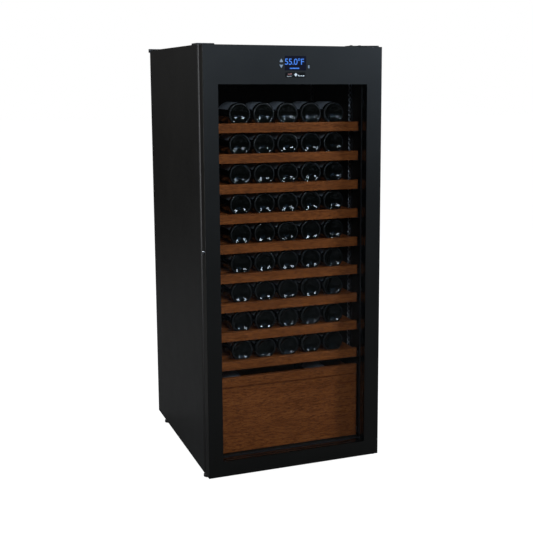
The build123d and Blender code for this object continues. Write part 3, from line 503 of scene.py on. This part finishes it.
# Rings from the middle of the punt, which is a shallow hollow ball, round the heel, along the
# body and up the neck: radius as a share of the body's, distance from the base as a share of
# the length.
punt_curve = 0.060
punt_rim = 0.78
punt_middle = 0.02
punt_steps = 11
rim_lift = 0.0004
punt_lift = punt_curve - math.sqrt(punt_curve ** 2 - (punt_rim * bottle_radius) ** 2)
bottle_rings = []
for step in range(punt_steps):
    share = punt_middle + (punt_rim - punt_middle) * step / (punt_steps - 1)
    sag = punt_curve - math.sqrt(punt_curve ** 2 - (share * bottle_radius) ** 2)
    bottle_rings.append((share, (punt_lift - sag + rim_lift) / bottle_length))
bottle_rings += [
    (0.83, 0.0001), (0.90, 0.0), (0.955, 0.0030), (0.985, 0.0090), (0.996, 0.0160),
    (1.0, 0.0300), (1.0, 0.0500), (1.0, 0.4150), (1.0, 0.6300), (0.985, 0.6560),
    (0.93, 0.6830), (0.82, 0.7100), (0.66, 0.7380), (0.50, 0.7640), (0.415, 0.7900),
    (0.390, 0.8200), (0.385, 0.9500), (0.412, 0.9560), (0.412, 0.9700), (0.388, 0.9740),
    (0.386, 0.9960), (0.34, 1.0), (0.02, 1.0),
]
# Where the label, the capsule and the stipple lie, as shares of the length and the radius.
label_rings = (0.05, 0.42)
label_lift = 0.42
capsule_start = 0.79
stipple_reach = 0.003
stipple_band = (0.84, 0.94)
paper_slot, foil_slot, stipple_slot = 1, 2, 3
ring_faces = 48
weld_distance = 0.00001

bpy.ops.object.select_all(action="DESELECT")
bpy.ops.mesh.primitive_circle_add(vertices=ring_faces, radius=bottle_radius * bottle_rings[0][0],
                                  rotation=(math.pi / 2, 0, 0),
                                  location=(0, bottle_length * bottle_rings[0][1], 0))
pattern = bpy.context.object
pattern.name = "bottle_pattern"
bpy.ops.object.transform_apply(location=True, rotation=True, scale=True)
bpy.ops.object.mode_set(mode="EDIT")
bpy.ops.mesh.select_all(action="SELECT")
for (radius, reach), (next_radius, next_reach) in zip(bottle_rings, bottle_rings[1:]):
    bpy.ops.mesh.extrude_region_move(
        TRANSFORM_OT_translate={"value": (0, (next_reach - reach) * bottle_length, 0)})
    grow = next_radius / radius
    bpy.ops.transform.resize(value=(grow, 1, grow),
                             center_override=(0, next_reach * bottle_length, 0))
bpy.ops.mesh.select_all(action="SELECT")
bpy.ops.mesh.remove_doubles(threshold=weld_distance)
bpy.ops.mesh.normals_make_consistent(inside=False)
bpy.ops.object.mode_set(mode="OBJECT")
for material in (bottle_glass, paper, foil, stipple):
    pattern.data.materials.append(material)
for face in pattern.data.polygons:
    reach = face.center.y / bottle_length
    upward = face.center.z / bottle_radius
    from_axis = math.hypot(face.center.x, face.center.z) / bottle_radius
    if label_rings[0] < reach < label_rings[1] and upward > label_lift:
        face.material_index = paper_slot
    elif reach > capsule_start:
        face.material_index = foil_slot
    elif reach < stipple_reach and stipple_band[0] < from_axis < stipple_band[1]:
        face.material_index = stipple_slot
bpy.ops.object.shade_smooth_by_angle(angle=math.radians(35))


def bottle_group(name, places, body, node):
    """Copies of the bottle at several places, joined into one piece that stands for a node."""
    copies = []
    for place in places:
        copy = pattern.copy()
        copy.data = pattern.data.copy()
        bpy.context.collection.objects.link(copy)
        copy.location = place
        copies.append(copy)
    bpy.ops.object.select_all(action="DESELECT")
    for copy in copies:
        copy.select_set(True)
    bpy.context.view_layer.objects.active = copies[0]
    bpy.ops.object.transform_apply(location=True, rotation=True, scale=True)
    bpy.ops.object.join()
    group = bpy.context.object
    group.name = name
    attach(group, body)
    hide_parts(node)


for shelf_name in shelf_names:
    number = shelf_name.removeprefix(shelf_prefix)
    low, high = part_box(f"bottles_{number}")
    row = [(low.x + bottle_radius + column_pitch * column, low.y, low.z + bottle_radius)
           for column in range(columns)]
    bottle_group(f"bottle_row_{number}", row, shelf_name, f"bottles_{number}")

bin_low, bin_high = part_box("drawer_bottles")
layer_step = (bin_high.z - bin_low.z - 2 * bottle_radius) / 2
bin_pitch = (bin_high.x - bin_low.x - 2 * bottle_radius) / (columns - 1)
bin_row = [bin_low.x + bottle_radius + bin_pitch * column for column in range(columns)]
bin_places = [(x, bin_low.y, bin_low.z + bottle_radius + layer_step * layer)
              for layer, xs in enumerate((bin_row, bin_row, (bin_row[0], bin_row[-1])))
              for x in xs]
bottle_group("bottles_in_bin", bin_places, "drawer", "drawer_bottles")
bpy.data.objects.remove(pattern)

# ---- Machine bay ----------------------------------------------------------------------------
# What cools the cabinet: a compressor in a welded shell with black enamel, coils of tube with
# pressed aluminium fins, and brazed copper pipe between them.
fin_aluminium = plated("fin_aluminium", (0.70, 0.71, 0.73), roughness=0.40, along=(1, 1, 10))
coat(fin_aluminium, "evaporator", "condenser_coil")
enamel = powder_coat("enamel", (0.008, 0.008, 0.009), roughness=0.30, gloss=0.5)
coat(enamel, "compressor")
copper = plated("copper", (0.62, 0.28, 0.15), roughness=0.30)
coat(copper, "refrigerant_pipes")

# ---- Back -----------------------------------------------------------------------------------
# Zinc-plated self-tapping screws with pan heads and cross recesses hold the back panel and the
# grille. A blank foil rating plate is stuck to the panel.
zinc = plated("screw_zinc", (0.42, 0.43, 0.44), roughness=0.38)
head_radius = 0.0042
head_height = 0.0018
recess_length = 0.0048
recess_width = 0.0011
recess_depth = 0.0011
head_rounding = 0.0006

bpy.ops.object.select_all(action="DESELECT")
bpy.ops.mesh.primitive_cylinder_add(vertices=32, radius=head_radius, depth=head_height,
                                    rotation=(-math.pi / 2, 0, 0),
                                    location=(0, head_height / 2, 0))
screw_pattern = bpy.context.object
screw_pattern.name = "screw_pattern"
bpy.ops.object.transform_apply(location=True, rotation=True, scale=True)
for across, upright in ((recess_length, recess_width), (recess_width, recess_length)):
    bpy.ops.object.select_all(action="DESELECT")
    bpy.ops.mesh.primitive_cube_add(size=1, location=(0, head_height, 0))
    arm = bpy.context.object
    arm.scale = (across, 2 * recess_depth, upright)
    bpy.ops.object.transform_apply(location=True, rotation=True, scale=True)
    bpy.ops.object.select_all(action="DESELECT")
    screw_pattern.select_set(True)
    bpy.context.view_layer.objects.active = screw_pattern
    cut = screw_pattern.modifiers.new("recess", "BOOLEAN")
    cut.operation = "DIFFERENCE"
    cut.object = arm
    bpy.ops.object.modifier_apply(modifier=cut.name)
    bpy.data.objects.remove(arm)
rounding = screw_pattern.modifiers.new("rounding", "BEVEL")
rounding.width = head_rounding
rounding.segments = 3
rounding.limit_method = "ANGLE"
rounding.angle_limit = math.radians(60)
bpy.ops.object.modifier_apply(modifier=rounding.name)
bpy.ops.object.shade_smooth_by_angle(angle=math.radians(35))
screw_pattern.data.materials.append(zinc)

back_low, back_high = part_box("back_panel")
grille_low, grille_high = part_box("rear_grille")
screw_inset = 0.012
screw_margin = 0.05
panel_rows = 5
screw_places = []
for row in range(panel_rows):
    rise = (back_low.z + screw_margin
            + (back_high.z - back_low.z - 2 * screw_margin) * row / (panel_rows - 1))
    screw_places += [(back_low.x + screw_inset, back_high.y, rise),
                     (back_high.x - screw_inset, back_high.y, rise)]
screw_places += [(x, grille_high.y, z)
                 for x in (grille_low.x + screw_inset, grille_high.x - screw_inset)
                 for z in (grille_low.z + screw_inset, grille_high.z - screw_inset)]
for index, place in enumerate(screw_places):
    screw = screw_pattern.copy()
    screw.data = screw_pattern.data.copy()
    screw.name = f"back_screw_{index + 1}"
    bpy.context.collection.objects.link(screw)
    screw.location = place
    bpy.ops.object.select_all(action="DESELECT")
    screw.select_set(True)
    bpy.context.view_layer.objects.active = screw
    bpy.ops.object.transform_apply(location=True, rotation=True, scale=True)
    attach(screw, "cabinet")
bpy.data.objects.remove(screw_pattern)

rating_foil = plated("rating_foil", (0.50, 0.51, 0.52), roughness=0.45, along=(20, 1, 1))
plate_width = 0.095
plate_height = 0.062
plate_inset = 0.06
plate_drop = 0.16
plate_edge = 0.0001
plate_left = back_high.x - plate_inset - plate_width
plate_base = back_high.z - plate_drop - plate_height
tablet("rating_plate",
       (plate_left, back_high.y - 0.0001, plate_base),
       (plate_left + plate_width, back_high.y + 0.0002, plate_base + plate_height),
       plate_edge, "cabinet", rating_foil)

# ---- Floor, light and camera ----------------------------------------------------------------
# A pale sweep that looks white to the eye and throws little light back at the cabinet, as a
# studio does with black flags. Soft lamps stand in front, high up, and behind.

def looked_at(tree):
    """1 where the floor or the sky is looked at and 0 where it lights things."""
    path = tree.nodes.new("ShaderNodeLightPath")
    return Wire(tree, path.outputs["Is Camera Ray"])


floor_size = 60
bpy.ops.object.select_all(action="DESELECT")
bpy.ops.mesh.primitive_plane_add(size=floor_size, location=(0, 0, 0))
floor = bpy.context.object
floor.name = "floor"
floor_paint, floor_place, floor_shader = surface("floor_paint", (0.15, 0.15, 0.15), 0.9,
                                                 Specular_IOR_Level=0.0,
                                                 Emission_Strength=1.0)
feed(floor_shader,
     Emission_Color=mix(looked_at(floor_paint.node_tree), (0.0, 0.0, 0.0), (1.0, 1.0, 1.0)))
floor.data.materials.append(floor_paint)
floor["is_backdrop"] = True

world = bpy.data.worlds.new("studio")
world.use_nodes = True
bpy.context.scene.world = world
sky = world.node_tree.nodes["Background"]
sky.inputs["Color"].default_value = (1, 1, 1, 1)
sky_seen = 1.0
sky_fill = 0.04
feed(sky, Strength=looked_at(world.node_tree) * (sky_seen - sky_fill) + sky_fill)


def softbox(name, place, target, width, height, power, colour=(0.95, 0.97, 1.0)):
    """A rectangular area light that faces its target, in metres and watts."""
    lamp = bpy.data.lights.new(name, "AREA")
    lamp.shape = "RECTANGLE"
    lamp.size = width
    lamp.size_y = height
    lamp.energy = power
    lamp.color = colour
    holder = bpy.data.objects.new(name, lamp)
    bpy.context.collection.objects.link(holder)
    holder.location = place
    holder.rotation_euler = (Vector(target) - Vector(place)).to_track_quat("-Z", "Y").to_euler()


middle = (cad_low + cad_high) / 2
pale_blue = (0.74, 0.87, 1.0)
sky_blue = (0.34, 0.62, 1.0)
shelf_front = (0.0, cad_low.y, 1.0)
softbox("front_box", (-0.5, -3.9, 2.4), shelf_front, 1.1, 0.9, 80, pale_blue)
softbox("right_front_box", (2.56, -2.86, 2.4), shelf_front, 1.0, 1.0, 84, pale_blue)
softbox("right_wide_box", (2.2, -4.3, 2.05), shelf_front, 2.6, 1.2, 10, sky_blue)
softbox("left_side_box", (-3.4, 0.2, 1.1), middle, 0.5, 1.9, 50)
softbox("left_back_box", (-3.4, 2.4, 2.8), middle, 1.2, 1.2, 30)
softbox("right_back_box", (2.8, 2.4, 2.8), middle, 1.2, 1.2, 110)

# The camera stands a little to the left of the door, at the height of the upper shelves, and
# looks down at the middle. Its turns are in degrees.
camera_dip = 8.96
camera_lean = -0.09
camera_turn = -22.07
camera = bpy.data.cameras.new("camera")
camera.sensor_width = 36.0
camera.lens = 65.6
camera.shift_x = -0.1004
camera.shift_y = -0.0591
camera_holder = bpy.data.objects.new("camera", camera)
bpy.context.collection.objects.link(camera_holder)
camera_holder.location = (-1.088, -3.251, 1.288)
camera_holder.rotation_euler = (math.radians(90 - camera_dip), math.radians(camera_lean),
                                math.radians(camera_turn))
bpy.context.scene.camera = camera_holder
bpy.context.scene.view_settings.view_transform = "Standard"

low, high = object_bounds()
